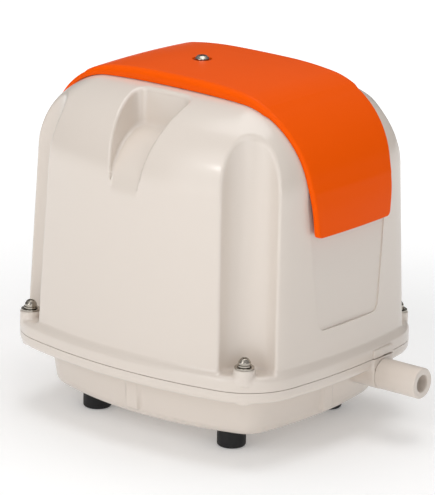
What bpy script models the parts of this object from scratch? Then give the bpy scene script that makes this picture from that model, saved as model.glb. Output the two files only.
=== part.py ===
"""Linear diaphragm air pump for a pond: a drafted two-part housing with a saddle-shaped
filter cover, and the electromagnetic pump inside it.

Axes: X runs along the wide front face and the outlet pipe points to +X, Y runs from the
front to the back, Z is up. Sizes are in millimetres, measured from the middle of the four
feet on the ground. Every object is then scaled to metres and moved along X, so that the
origin lies on the ground under the middle of the whole length, outlet pipe included.
"""
import math

import bmesh
import bpy
from mathutils import Vector

MM = 0.001
GAP = 0.3                    # clearance between pieces that touch
OBJECT_NAME = "air_pump"
SHIFT = Vector((-14.0, 0.0, 0.0))

# Housing outline, measured at the flange where the two halves meet
FLANGE_HALF_X = 100.0
FLANGE_HALF_Y = 90.8
FLANGE_BOW_X = 10.6          # how far the +-X sides fall back towards the corners
FLANGE_BOW_Y = 17.3
FLANGE_CORNER_R = 37.0
BASE_TOP_Z = 45.4
SEAL_Z = (45.6, 46.2)
HOUSING_FOOT_Z = 46.4
FLANGE_TOP_Z = 54.6

# Upper housing wall
WALL = 3.0
WALL_Z = 60.0                # height at which the wall's half sizes are given
WALL_HALF_X = 97.5
WALL_HALF_Y = 87.9
WALL_DRAFT_X = 0.030        # millimetres drawn in for each millimetre of height
WALL_DRAFT_Y = 0.036
WALL_BOW_DRAFT = 0.010
SHOULDER_Z = 151.5
SHOULDER_R = 48.0
SHOULDER_ANGLES = (12.0, 24.0, 36.0, 48.0, 60.0, 72.0, 84.0)
CORNER_CLOSING = 0.75        # how fast the corner radius shrinks over the shoulder

# Base tub
TUB_BOTTOM_Z = 12.3
TUB_FLOOR_Z = 15.3
LEDGE_Z = 40.5
FLANGE_UNDER_Z = 38.6

# Features of the upper housing
SCREW_XY = (78.8, 72.0)
BOSS_TOP_Z = 58.7
FLUTE_R = 17.0
FLUTE_SIDES = 24
FLUTE_FOOT_XY = (83.0, 74.9)
FLUTE_HEAD_XY = (78.0, 70.0)
FLUTE_Z = (57.0, 188.0)
GRIP_TOP_Z = 198.0           # height at which the recess's plan is given
GRIP_DRAFT = 0.08
GRIP_BACK_Y = 48.2
GRIP_PLAN = (20.0, 45.0, 53.0)   # half width, middle y and half length of its oval plan
GRIP_FLOOR = (178.0, 0.35)   # height at the back wall, and the fall towards the face
GRIP_RUNOUT = (64.7, 151.6, 20.0)   # middle y, z and radius of the curve that ends the floor
GRIP_END = (84.3, 155.5)     # where the floor comes out through the face
PANEL_FOOT_Z = 72.9
PANEL_DEPTH = 0.7
POCKET_HALF = (58.0, 30.0)
POCKET_Z = 183.0
COVER_SCREW_XY = (-12.0, -2.0)
POST_TOP_Z = 201.9

# Filter cover
COVER_SKIRT_Z = 128.7
COVER_WALL = 2.4
COVER_HALF_AT_0 = 19.7       # half width of the cover if its taper ran down to the ground
COVER_FLARE = 0.11           # half width gained for each millimetre of height
COVER_CROWN = 0.8
COVER_GAP = 0.4
COVER_MIDDLE_X = 44.0        # where the cover's feet leave the flat top of the housing
COVER_RISE = (3.2, 3.5)      # height over the shoulder, and the extra in the middle
COVER_RISE_X = (20.0, 70.8)  # where that extra is whole, and where it is gone

# Outlet
OUTLET_Y = 29.8
OUTLET_Z = 35.5
OUTLET_R = 9.0
OUTLET_BORE_R = 5.0
OUTLET_TIP_X = 128.0
OUTLET_FACE_X = 100.4

# Cord gland, in the rear wall
GLAND_X = -40.0
GLAND_Z = 72.0
GLAND_FACE_Y = 86.0

# Feet
FOOT_XY = (50.0, 45.2)
FOOT_R = 8.3

# Pump unit
AXIS_Z = 103.0
FRAME_Z = (57.3, 59.3)
END_PLATE_X = (46.0, 49.0)
DIAPHRAGM_X = (49.3, 52.3)
HEAD_BODY_X = (52.6, 67.0)
HEAD_COVER_X = (67.3, 82.0)
INTAKE_FLAP_X = (63.2, 64.3)
EXHAUST_FLAP_X = (67.2, 68.2)
HEAD_HALF_Y = 36.0
HEAD_HALF_Z = 36.0
LEG_TIP_Y = 7.0
CORE_BACK_Y = 42.0
CORE_HALF_X = 34.0
CORE_HALF_Z = 15.0
HOSE_X = 75.0

PARTS = []
CUTTERS = []


# ---------------------------------------------------------------- helpers

def clear_scene():
    for item in list(bpy.data.objects):
        bpy.data.objects.remove(item, do_unlink=True)


def make_collection(name):
    group = bpy.data.collections.new(name)
    bpy.context.scene.collection.children.link(group)
    return group


def material(name, colour, roughness, metallic=0.0):
    made = bpy.data.materials.new(name)
    made.use_nodes = True
    shader = made.node_tree.nodes["Principled BSDF"]
    shader.inputs["Base Color"].default_value = (*colour, 1.0)
    shader.inputs["Roughness"].default_value = roughness
    shader.inputs["Metallic"].default_value = metallic
    made.diffuse_color = (*colour, 1.0)
    return made


def add_object(name, bm, finish=None):
    """Turn a bmesh in millimetres into an object in metres, a part or else a cutter."""
    bmesh.ops.scale(bm, vec=(MM, MM, MM), verts=bm.verts)
    mesh = bpy.data.meshes.new(name)
    bm.to_mesh(mesh)
    bm.free()
    made = bpy.data.objects.new(name, mesh)
    made.location = SHIFT * MM
    if finish is None:
        CUTTERS[0].objects.link(made)
        made.hide_render = True
        made.display_type = "WIRE"
    else:
        PARTS[0].objects.link(made)
        mesh.materials.append(finish)
    return made


def smooth(made, angle_deg=32.0):
    made.data.shade_smooth()
    made.data.set_sharp_from_angle(angle=math.radians(angle_deg))
    return made


def box(name, low, high, finish=None, bevel=0.0, pivot=(0, 0, 0)):
    """A box between two corners, with its own origin at the pivot point."""
    low, high, pivot = Vector(low), Vector(high), Vector(pivot)
    bm = bmesh.new()
    bmesh.ops.create_cube(bm, size=1.0)
    bmesh.ops.scale(bm, vec=high - low, verts=bm.verts)
    bmesh.ops.translate(bm, vec=(high + low) / 2 - pivot, verts=bm.verts)
    made = add_object(name, bm, finish)
    made.location = (pivot + SHIFT) * MM
    if bevel:
        edge = made.modifiers.new("edges", "BEVEL")
        edge.width = bevel * MM
        edge.segments = 1
        edge.limit_method = "ANGLE"
    return made


def place(made, centre, direction=(0, 0, 1)):
    made.location = (Vector(centre) + SHIFT) * MM
    made.rotation_mode = "QUATERNION"
    made.rotation_quaternion = Vector((0.0, 0.0, 1.0)).rotation_difference(Vector(direction))
    return made


def cylinder(name, radius, start, end, finish=None, sides=24, radius_end=None):
    """A cylinder, or a cone where radius_end is given, between two points."""
    start, end = Vector(start), Vector(end)
    length = (end - start).length
    bm = bmesh.new()
    top = radius if radius_end is None else radius_end
    bmesh.ops.create_cone(bm, cap_ends=True, segments=sides, radius1=radius, radius2=top,
                          depth=length)
    made = smooth(add_object(name, bm, finish))
    return place(made, (start + end) / 2, end - start)


def turned(name, profile, centre, finish, direction=(0, 0, 1), sides=24, closed=False):
    """A turned piece. The profile holds (radius, height) points, outer side top to bottom."""
    bm = bmesh.new()
    points = [bm.verts.new((r, 0.0, h)) for r, h in profile]
    for first, second in zip(points, points[1:]):
        bm.edges.new((first, second))
    if closed:
        bm.edges.new((points[-1], points[0]))
    made = add_object(name, bm, finish)
    screw = made.modifiers.new("turn", "SCREW")
    screw.steps = sides
    screw.render_steps = sides
    screw.use_merge_vertices = True
    screw.merge_threshold = 0.00001
    return place(made, centre, direction)


def loft(name, rings, finish=None):
    """A closed skin over rings of equal length, each ring flat-capped at the two ends."""
    bm = bmesh.new()
    rows = [[bm.verts.new(point) for point in ring] for ring in rings]
    count = len(rings[0])
    for lower, upper in zip(rows, rows[1:]):
        for i in range(count):
            j = (i + 1) % count
            bm.faces.new((lower[i], lower[j], upper[j], upper[i]))
    bm.faces.new(rows[0][::-1])
    bm.faces.new(rows[-1])
    bmesh.ops.recalc_face_normals(bm, faces=bm.faces)
    return smooth(add_object(name, bm, finish))


def prism(name, outline_points, low_z, high_z, finish=None):
    """A flat outline of (x, y) points raised between two heights."""
    return loft(name, [[(x, y, z) for x, y in outline_points] for z in (low_z, high_z)], finish)


def combine(target, operation, others):
    for other in others:
        step = target.modifiers.new(operation.lower(), "BOOLEAN")
        step.operation = operation
        step.object = other
        step.solver = "EXACT"
    return target


def cut(target, *cutters):
    return combine(target, "DIFFERENCE", cutters)


def join(target, *pieces):
    return combine(target, "UNION", pieces)


# ---------------------------------------------------------------- outlines

def arc(centre, radius, start, end, steps):
    """Points along an arc from one point to another, without the last one."""
    first = math.atan2(start[1] - centre[1], start[0] - centre[0])
    last = math.atan2(end[1] - centre[1], end[0] - centre[0])
    sweep = (last - first + math.pi) % (2 * math.pi) - math.pi
    return [(centre[0] + radius * math.cos(first + sweep * i / steps),
             centre[1] + radius * math.sin(first + sweep * i / steps)) for i in range(steps)]


def outline(half_x, half_y, bow_x, bow_y, corner_r, side_steps=3, corner_steps=4):
    """A rounded rectangle whose sides are shallow arcs, as a loop of (x, y) points."""
    front_r = (half_x ** 2 + bow_y ** 2) / (2 * bow_y)
    side_r = (half_y ** 2 + bow_x ** 2) / (2 * bow_x)
    front_c = Vector((0.0, -half_y + front_r))
    side_c = Vector((half_x - side_r, 0.0))
    to_front = front_r - corner_r
    to_side = side_r - corner_r
    apart = side_c - front_c
    along = (to_front ** 2 - to_side ** 2 + apart.length ** 2) / (2 * apart.length)
    across = math.sqrt(max(to_front ** 2 - along ** 2, 0.0))
    unit = apart.normalized()
    normal = Vector((-unit.y, unit.x))
    choices = [front_c + unit * along + normal * across, front_c + unit * along - normal * across]
    corner_c = max(choices, key=lambda point: point.x - point.y)
    front_end = front_c + (corner_c - front_c).normalized() * front_r
    side_end = side_c + (corner_c - side_c).normalized() * side_r
    quarter = arc(front_c, front_r, (0.0, -half_y), front_end, side_steps)
    quarter += arc(corner_c, corner_r, front_end, side_end, corner_steps)
    quarter += arc(side_c, side_r, side_end, (half_x, 0.0), side_steps)
    right = quarter + [(half_x, 0.0)] + [(x, -y) for x, y in reversed(quarter[1:])]
    left = [(-x, -y) for x, y in right]
    return right + left


def flange_outline(inset):
    corner = max(FLANGE_CORNER_R - inset, 8.0)
    return outline(FLANGE_HALF_X - inset, FLANGE_HALF_Y - inset, FLANGE_BOW_X, FLANGE_BOW_Y, corner)


def wall_outline(z, inset=0.0):
    """The upper housing's wall at a height below its shoulder."""
    rise = z - WALL_Z
    bow_more = 0.8 + WALL_BOW_DRAFT * rise
    return outline(WALL_HALF_X - WALL_DRAFT_X * rise - inset,
                   WALL_HALF_Y - WALL_DRAFT_Y * rise - inset,
                   FLANGE_BOW_X + bow_more, FLANGE_BOW_Y + bow_more, FLANGE_CORNER_R - 2.0 - inset)


def shoulder_outline(angle_deg, inset=0.0):
    """The wall's outline where the rounded shoulder has turned by an angle."""
    radius = SHOULDER_R - inset
    drawn = radius * (1.0 - math.cos(math.radians(angle_deg)))
    rise = SHOULDER_Z - WALL_Z
    half_x = WALL_HALF_X - WALL_DRAFT_X * rise - inset
    half_y = WALL_HALF_Y - WALL_DRAFT_Y * rise - inset
    bow_more = 0.8 + WALL_BOW_DRAFT * rise
    corner = max(FLANGE_CORNER_R - 2.0 - inset - CORNER_CLOSING * drawn, 4.0)
    return outline(half_x - drawn, half_y - drawn,
                   (FLANGE_BOW_X + bow_more) * (1.0 - drawn / half_x),
                   (FLANGE_BOW_Y + bow_more) * (1.0 - drawn / half_y), corner)


def raised(points, z):
    return [(x, y, z) for x, y in points]


def wall_rings(low_z, inset=0.0):
    """Rings of the housing wall from a low height up over the shoulder."""
    rings = [raised(wall_outline(z, inset), z) for z in (low_z, 100.0, SHOULDER_Z)]
    radius = SHOULDER_R - inset
    for angle in SHOULDER_ANGLES:
        height = SHOULDER_Z + radius * math.sin(math.radians(angle))
        rings.append(raised(shoulder_outline(angle, inset), height))
    return rings


def reach(ring, y):
    """Largest x at which a closed outline crosses the line at y."""
    found = []
    for (x1, y1), (x2, y2) in zip(ring, ring[1:] + ring[:1]):
        if (y1 - y) * (y2 - y) <= 0 and y1 != y2:
            found.append(x1 + (x2 - x1) * (y - y1) / (y2 - y1))
    return max(found)


def four_corners(x, y):
    return [("front_left", -x, -y), ("front_right", x, -y), ("rear_left", -x, y), ("rear_right", x, y)]


# ---------------------------------------------------------------- upper housing

def flute(name, sign_x, sign_y, grow):
    """Tilted round groove over a corner screw."""
    foot = Vector((FLUTE_FOOT_XY[0] * sign_x, FLUTE_FOOT_XY[1] * sign_y, FLUTE_Z[0]))
    head = Vector((FLUTE_HEAD_XY[0] * sign_x, FLUTE_HEAD_XY[1] * sign_y, FLUTE_Z[1]))
    slope = (head - foot) / (head.z - foot.z)
    bottom = FLANGE_TOP_Z if not grow else HOUSING_FOOT_Z - 4.0
    low = foot + slope * (bottom - foot.z)
    high = foot + slope * (SHOULDER_Z + SHOULDER_R + 12.0 - foot.z)
    turns = [2 * math.pi * i / FLUTE_SIDES for i in range(FLUTE_SIDES)]
    radius = FLUTE_R + grow
    return loft(name, [[(centre.x + radius * math.cos(a), centre.y + radius * math.sin(a), centre.z)
                        for a in turns] for centre in (low, high)])


def grip_floor(y):
    """Height of the finger recess's floor: a gentle fall that curves down into the face."""
    middle_y, middle_z, radius = GRIP_RUNOUT
    height, fall = GRIP_FLOOR
    if y < middle_y + radius * math.sin(math.atan(fall)):
        return height - fall * (y - GRIP_BACK_Y)
    return middle_z + math.sqrt(radius ** 2 - (y - middle_y) ** 2)


def grip(name, sign_y, grow):
    """Finger recess under the cover: an upright back wall and a floor that runs out."""
    wide, middle, reach_y = GRIP_PLAN
    end_y, end_z = GRIP_END
    high = SHOULDER_Z + SHOULDER_R + 10.0
    levels = []
    for y, tuck in ((GRIP_BACK_Y, 4.5), (GRIP_BACK_Y + 1.6, 1.6), (GRIP_BACK_Y + 4.6, 0.1), (58.0, 0.0),
                    (64.0, 0.0), (69.0, 0.0), (73.0, 0.0), (76.5, 0.0), (79.5, 0.0), (82.0, 0.0)):
        levels.append((y, grip_floor(y), wide * math.sqrt(1.0 - ((y - middle) / reach_y) ** 2) - tuck))
    last = wide * math.sqrt(1.0 - ((end_y - middle) / reach_y) ** 2)
    levels += [(end_y, end_z, last), (FLANGE_HALF_Y + 6.0, end_z, last)]
    rings = []
    for y, floor, half in levels:
        lean = GRIP_DRAFT * (y < GRIP_BACK_Y + 1.0)
        low_y = y - grow + lean * (GRIP_TOP_Z - floor)
        high_y = y - grow - lean * (high - GRIP_TOP_Z)
        low_half = half + grow - GRIP_DRAFT * (GRIP_TOP_Z - floor)
        high_half = half + grow + GRIP_DRAFT * (high - GRIP_TOP_Z)
        bottom = floor - grow
        rings.append([(-low_half, sign_y * low_y, bottom), (low_half, sign_y * low_y, bottom),
                      (high_half, sign_y * high_y, high), (-high_half, sign_y * high_y, high)])
    return loft(name, rings)


def side_panel(name, sign_x, grow):
    """Shallow recess up the +-X face, which carries the intake air under the cover."""
    levels = [(z, wall_outline(z), extra) for z, extra in
              ((PANEL_FOOT_Z, -2.6), (PANEL_FOOT_Z + 3.0, 0.0), (110.0, 0.6), (142.0, 0.6))]
    for angle in SHOULDER_ANGLES[:-1]:
        z = SHOULDER_Z + SHOULDER_R * math.sin(math.radians(angle))
        levels.append((z, shoulder_outline(angle), -3.4))
    levels[0] = (levels[0][0] - grow, levels[0][1], levels[0][2])
    rings = []
    for z, ring, extra in levels:
        half = cover_half_width(z) + extra
        floor = reach(ring, half) - PANEL_DEPTH - grow
        half += grow
        rings.append([(sign_x * x, y, z) for x, y in
                      ((floor, -half), (106.0, -half - 1.0), (106.0, half + 1.0), (floor, half))])
    rings.append([(x, y, 210.0) for x, y, z in rings[-1]])
    return loft(name, rings)


def make_upper_housing(finish):
    shell = [raised(flange_outline(0.3), HOUSING_FOOT_Z), raised(flange_outline(0.0), 47.0),
             raised(flange_outline(0.0), 50.5), raised(flange_outline(0.7), 52.6),
             raised(flange_outline(2.0), 53.9), raised(flange_outline(3.3), FLANGE_TOP_Z)]
    housing = loft("upper_housing", shell + wall_rings(55.4), finish)
    cavity = loft("housing_cavity", [raised(wall_outline(40.0, WALL + 0.6), 40.0)]
                  + wall_rings(60.0, WALL))
    pad = box("outlet_pad", (92.0, 20.5, HOUSING_FOOT_Z), (OUTLET_FACE_X, 39.0, 51.0))
    join(housing, pad)
    for name, x, y in four_corners(*SCREW_XY):
        sign_x, sign_y = math.copysign(1, x), math.copysign(1, y)
        cut(housing, flute("flute_" + name, sign_x, sign_y, 0.0))
        cut(cavity, flute("flute_wall_" + name, sign_x, sign_y, WALL))
        join(housing, cylinder("boss_" + name, 6.2, (x, y, 50.0), (x, y, BOSS_TOP_Z), sides=16))
    for side, sign in (("front", -1), ("rear", 1)):
        cut(housing, grip("grip_" + side, sign, 0.0))
        cut(cavity, grip("grip_wall_" + side, sign, WALL))
    for side, sign in (("left", -1), ("right", 1)):
        cut(housing, side_panel("panel_" + side, sign, 0.0))
        cut(cavity, side_panel("panel_wall_" + side, sign, WALL - 0.8))
    pocket_x, pocket_y = POCKET_HALF
    cut(housing, box("filter_pocket", (-pocket_x, -pocket_y, POCKET_Z),
                     (pocket_x, pocket_y, SHOULDER_Z + SHOULDER_R + 4.0)))
    cut(cavity, box("filter_pocket_wall", (-pocket_x - WALL, -pocket_y - WALL, POCKET_Z - WALL),
                    (pocket_x + WALL, pocket_y + WALL, SHOULDER_Z + SHOULDER_R + 4.0)))
    cut(housing, cavity)
    x, y = COVER_SCREW_XY
    join(housing, cylinder("cover_post", 5.0, (x, y, POCKET_Z - 1.5), (x, y, POST_TOP_Z), sides=14))
    cut(housing, cylinder("cover_post_hole", 1.9, (x, y, 189.0), (x, y, POST_TOP_Z + 2), sides=10))
    for column in (-42.0, -28.0, 14.0, 28.0, 42.0):
        slot = box("intake_slot_%d" % column, (column - 2.5, -22.0, POCKET_Z - WALL - 2.0),
                   (column + 2.5, 22.0, POCKET_Z + 2.0))
        cut(housing, slot)
    for name, x, y in four_corners(*SCREW_XY):
        cut(housing, cylinder("screw_way_" + name, 2.4, (x, y, 44.0), (x, y, BOSS_TOP_Z + 2.0), sides=10))
    gland_y = reach([(y, x) for x, y in wall_outline(GLAND_Z)], GLAND_X)
    join(housing, cylinder("gland_pad", 11.0, (GLAND_X, gland_y - 2.8, GLAND_Z),
                           (GLAND_X, GLAND_FACE_Y, GLAND_Z), sides=20))
    cut(housing, cylinder("gland_hole", 6.3, (GLAND_X, gland_y - 8.0, GLAND_Z),
                          (GLAND_X, GLAND_FACE_Y + 2.0, GLAND_Z), sides=16))
    return housing


# ---------------------------------------------------------------- filter cover

def cover_half_width(z):
    return COVER_HALF_AT_0 + COVER_FLARE * z


def cover_stations():
    """Stations (foot x, z, lean of the normal, height, lift, half width), skirt to skirt."""
    right = []
    for z, gap in ((COVER_SKIRT_Z, 2.3), (138.0, 2.5), (145.0, 2.4), (SHOULDER_Z, 1.8)):
        half = cover_half_width(z)
        right.append((reach(wall_outline(z), half) + gap, z, 0.0, 3.0, 0.2, half))
    for angle, height in zip(SHOULDER_ANGLES[:-2], (2.9, 2.8, 2.8, 2.9, COVER_RISE[0])):
        z = SHOULDER_Z + SHOULDER_R * math.sin(math.radians(angle))
        half = cover_half_width(z)
        ring = shoulder_outline(angle)
        foot = reach(ring, half)
        lean = math.radians(angle)
        lift = (reach(ring, half - COVER_WALL) - foot) * math.cos(lean)
        right.append((foot + COVER_GAP * math.cos(lean), z + COVER_GAP * math.sin(lean), angle, height,
                      lift, half))
    top = SHOULDER_Z + SHOULDER_R + COVER_GAP
    half = cover_half_width(top)
    middle = []
    for x in (60.0, 53.0, 46.0, 38.0, 28.0, 0.0):
        share = max(x - COVER_RISE_X[0], 0.0) / (COVER_RISE_X[1] - COVER_RISE_X[0])
        fall = SHOULDER_R - math.sqrt(SHOULDER_R ** 2 - max(x - COVER_MIDDLE_X, 0.0) ** 2)
        middle.append((x, top - fall, 90.0, COVER_RISE[0] + COVER_RISE[1] * (1.0 - share ** 2), 0.0, half))
    right += middle[:-1]
    left = [(-x, z, 180.0 - angle, height, lift, half) for x, z, angle, height, lift, half in right]
    return left + [middle[-1]] + right[::-1]


def cover_section(x, z, angle_deg, height, lift, half):
    """Closed channel section of the cover, set across its run."""
    out = Vector((math.cos(math.radians(angle_deg)), 0.0, math.sin(math.radians(angle_deg))))
    foot = Vector((x, 0.0, z))
    bend = min(5.0, height * 0.8)
    wall = min(COVER_WALL, height - 0.9)

    def skin(inward, first_rise):
        centre = Vector((half - 0.4 - bend, height - bend))
        radius = bend - inward
        points = [(half - inward, first_rise)]
        for turn in (8, 35, 62, 90):
            a = math.radians(turn)
            points.append((centre.x + radius * math.cos(a), centre.y + radius * math.sin(a)))
        if radius < 0.3:
            corner = (half - inward - 0.5, height - inward)
            points = [points[0], corner] + [(corner[0] - 0.3 * i, corner[1]) for i in (1, 2, 3)]
        level = points[-1][1]
        points.append((points[-1][0] * 0.5, level + COVER_CROWN * 0.75))
        points.append((0.0, level + COVER_CROWN))
        return [(y, max(n, first_rise + 0.1 * i)) for i, (y, n) in enumerate(points)]
    outer = skin(0.0, 0.0)
    inner = skin(wall, lift)
    loop = outer + [(-y, n) for y, n in outer[-2::-1]]
    loop += [(-y, n) for y, n in inner] + inner[-2::-1]
    return [tuple(foot + out * n + Vector((0.0, y, 0.0))) for y, n in loop]


def make_filter_cover(finish):
    sections = [cover_section(*station) for station in cover_stations()]
    cover = loft("filter_cover", sections, finish)
    x, y = COVER_SCREW_XY
    join(cover, cylinder("cover_boss", 8.5, (x, y, POST_TOP_Z + GAP), (x, y, 205.9), sides=16))
    cut(cover, cylinder("cover_dimple", 6.0, (x, y, 205.4), (x, y, 212.0), sides=16))
    cut(cover, cylinder("cover_hole", 2.5, (x, y, 198.0), (x, y, 212.0), sides=10))
    return cover


# ---------------------------------------------------------------- base housing

def outlet_block(name, low_x, high_x, radius, top_z):
    """Arch-bottomed block that carries the outlet pipe under the flange."""
    points = [(OUTLET_Y - radius, top_z)]
    for i in range(13):
        a = math.pi + math.pi * i / 12
        points.append((OUTLET_Y + radius * math.cos(a), OUTLET_Z + radius * math.sin(a)))
    points.append((OUTLET_Y + radius, top_z))
    return loft(name, [[(x, y, z) for y, z in points] for x in (low_x, high_x)])


def make_base_housing(finish):
    rings = [(TUB_BOTTOM_Z, 25.0), (12.9, 22.4), (14.6, 20.2), (17.5, 18.9), (22.0, 18.3),
             (FLANGE_UNDER_Z - 0.8, 16.2), (FLANGE_UNDER_Z, 15.2), (FLANGE_UNDER_Z + 0.01, 4.6),
             (39.4, 2.4), (41.0, 0.9), (43.4, 0.1), (44.9, 0.0), (BASE_TOP_Z, 0.3)]
    base = loft("base_housing", [raised(flange_outline(inset), z) for z, inset in rings], finish)
    join(base, outlet_block("outlet_block", 70.0, OUTLET_FACE_X, 9.3, BASE_TOP_Z))
    for name, x, y in four_corners(*SCREW_XY):
        join(base, cylinder("base_boss_" + name, 4.2, (x, y, 36.4), (x, y, 42.0), sides=12,
                            radius_end=4.8))
    for side, y in (("front", -1), ("rear", 1)):
        join(base, box("rib_" + side, (-4.5, min(y * 69.0, y * 74.8), 17.0),
                       (4.5, max(y * 69.0, y * 74.8), 39.5), bevel=1.2))
    join(base, box("rib_right", (79.0, -3.5, 17.5), (84.4, 3.5, 39.5), bevel=1.2))
    join(base, box("rib_left", (-84.4, -3.5, 17.5), (-79.0, 3.5, 39.5), bevel=1.2))
    tank = [(TUB_FLOOR_Z, 24.5), (17.0, 22.7), (20.0, 21.9), (LEDGE_Z + 1.0, 19.5)]
    cut(base, loft("tank_space", [raised(flange_outline(inset), z) for z, inset in tank]))
    cut(base, prism("lid_space", flange_outline(14.0), LEDGE_Z, BASE_TOP_Z + 3.0))
    cut(base, cylinder("spigot_way", 7.3, (86.0, OUTLET_Y, OUTLET_Z),
                       (OUTLET_FACE_X + 2.0, OUTLET_Y, OUTLET_Z), sides=18))
    cut(base, cylinder("outlet_way", 4.8, (60.0, OUTLET_Y, OUTLET_Z - 0.3),
                       (88.0, OUTLET_Y, OUTLET_Z - 0.3), sides=14))
    for name, x, y in four_corners(*SCREW_XY):
        cut(base, cylinder("base_screw_hole_" + name, 2.0 + GAP, (x, y, 36.6), (x, y, 48.0), sides=10))
    for name, x, y in four_corners(*FOOT_XY):
        cut(base, cylinder("foot_hole_" + name, 3.8, (x, y, 10.0), (x, y, 18.0), sides=12))
    return base


def make_flange_pieces(seal_finish, screw_finish):
    inner = outline(86.5, 77.3, FLANGE_BOW_X, FLANGE_BOW_Y, 30.0)
    seal = prism("housing_seal", flange_outline(1.2), *SEAL_Z, seal_finish)
    cut(seal, prism("seal_window", inner, SEAL_Z[0] - 2.0, SEAL_Z[1] + 2.0))
    for name, x, y in four_corners(*SCREW_XY):
        cut(seal, cylinder("seal_hole_" + name, 2.6, (x, y, 44.0), (x, y, 48.0), sides=10))
        washer_z = BOSS_TOP_Z + GAP
        make_pan_screw("corner_screw_" + name, (x, y, washer_z + 1.0 + GAP), 2.0, 3.6, 4.6, 20.0,
                       screw_finish)
        turned("corner_washer_" + name, [(5.6, 1.0), (5.6, 0.0), (2.3, 0.0), (2.3, 1.0)],
               (x, y, washer_z), screw_finish, closed=True, sides=14)


def make_pan_screw(name, head_at, shank_r, head_r, rise, length, finish):
    """Pan-head screw whose head stands on head_at, with a cross recess."""
    profile = [(0.0, rise), (head_r * 0.7, rise - 0.4), (head_r, rise - 1.9), (head_r, 0.0),
               (shank_r, 0.0), (shank_r, -length), (0.0, -length)]
    screw = turned(name, profile, head_at, finish, sides=12)
    x, y, z = head_at
    for tag, wide, deep in (("a", 2.0, 0.5), ("b", 0.5, 2.0)):
        cut(screw, box(name + "_recess_" + tag, (x - wide, y - deep, z + rise - 1.4),
                       (x + wide, y + deep, z + rise + 1.0)))
    return screw


def make_feet(finish):
    for name, x, y in four_corners(*FOOT_XY):
        profile = [(0.0, 18.2), (5.0, 17.4), (5.0, TUB_FLOOR_Z + GAP), (3.4, TUB_FLOOR_Z + GAP),
                   (3.4, TUB_BOTTOM_Z - GAP), (FOOT_R, TUB_BOTTOM_Z - GAP), (FOOT_R, 1.4),
                   (FOOT_R - 1.4, 0.0), (0.0, 0.0)]
        turned("rubber_foot_" + name, profile, (x, y, 0.0), finish, sides=16)


def make_outlet(finish):
    tip = OUTLET_TIP_X - OUTLET_FACE_X
    profile = [(OUTLET_BORE_R + 0.6, tip), (OUTLET_R - 0.7, tip), (OUTLET_R, tip - 0.7), (OUTLET_R, GAP),
               (7.0, GAP), (7.0, -14.0), (OUTLET_BORE_R, -14.0), (OUTLET_BORE_R, tip - 0.6)]
    turned("outlet_pipe", profile, (OUTLET_FACE_X, OUTLET_Y, OUTLET_Z), finish, (1, 0, 0), 20,
           closed=True)


def make_gland(finish):
    profile = [(3.2, 4.8), (5.8, 4.8), (6.6, 4.0), (6.6, 2.9), (9.0, 2.4), (9.0, GAP), (6.0, GAP),
               (6.0, -8.2), (7.6, -8.8), (6.0, -10.8), (3.2, -10.8)]
    turned("cord_gland", profile, (GLAND_X, GLAND_FACE_Y, GLAND_Z), finish, (0, 1, 0), 14, closed=True)


# ---------------------------------------------------------------- tank and filter

def make_tank(lid_finish, seal_finish):
    gasket = prism("tank_gasket", flange_outline(14.5), LEDGE_Z + GAP, LEDGE_Z + 1.1, seal_finish)
    cut(gasket, prism("gasket_window", flange_outline(20.5), LEDGE_Z - 1.0, LEDGE_Z + 3.0))
    lid_z = (LEDGE_Z + 1.4, LEDGE_Z + 4.2)
    lid = prism("tank_lid", flange_outline(14.5), *lid_z, lid_finish)
    for side, x in (("left", -HOSE_X), ("right", HOSE_X)):
        join(lid, cylinder("lid_nipple_" + side, 5.0, (x, 0, lid_z[0] + 0.5), (x, 0, 53.0), sides=12))
        cut(lid, cylinder("lid_bore_" + side, 3.0, (x, 0, lid_z[0] - 2.0), (x, 0, 56.0), sides=10))
        turned("air_hose_" + side, [(7.6, 64.4), (7.6, 45.2), (5.3, 45.2), (5.3, 64.4)], (x, 0, 0),
               seal_finish, closed=True, sides=14)


def make_filter(finish):
    half_x, half_y = POCKET_HALF
    pad = box("filter_element", (-half_x + 1, -half_y + 1, POCKET_Z + GAP),
              (half_x - 1, half_y - 1, 196.5), finish, bevel=1.5)
    x, y = COVER_SCREW_XY
    cut(pad, cylinder("filter_hole", 5.8, (x, y, 178.0), (x, y, 205.0), sides=14))


# ---------------------------------------------------------------- pump unit

def make_frame(frame_finish, mount_finish):
    low, high = FRAME_Z
    frame = box("pump_frame", (-58, -46, low), (58, 46, high), frame_finish)
    for side, sign in (("left", -1), ("right", 1)):
        near, far = sorted((sign * END_PLATE_X[0], sign * END_PLATE_X[1]))
        join(frame, box("end_plate_" + side, (near, -36, low + 0.5), (far, 36, AXIS_Z + 36)))
        cut(frame, cylinder("end_hole_" + side, 26.0, (near - 2, 0, AXIS_Z), (far + 2, 0, AXIS_Z), sides=24))
    for side, sign in (("front", -1), ("rear", 1)):
        near, far = sorted((sign * (CORE_BACK_Y + GAP), sign * (CORE_BACK_Y + 2.5)))
        join(frame, box("core_bracket_" + side, (-24, near, low + 0.5), (24, far, AXIS_Z + 13)))
    for name, x, y in four_corners(52.0, 34.0):
        profile = [(0.0, 56.9), (7.0, 56.9), (5.2, 53.0), (5.2, 49.0), (7.0, 45.1), (0.0, 45.1)]
        turned("vibration_mount_" + name, profile, (x, y, 0.0), mount_finish, sides=12)


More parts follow.
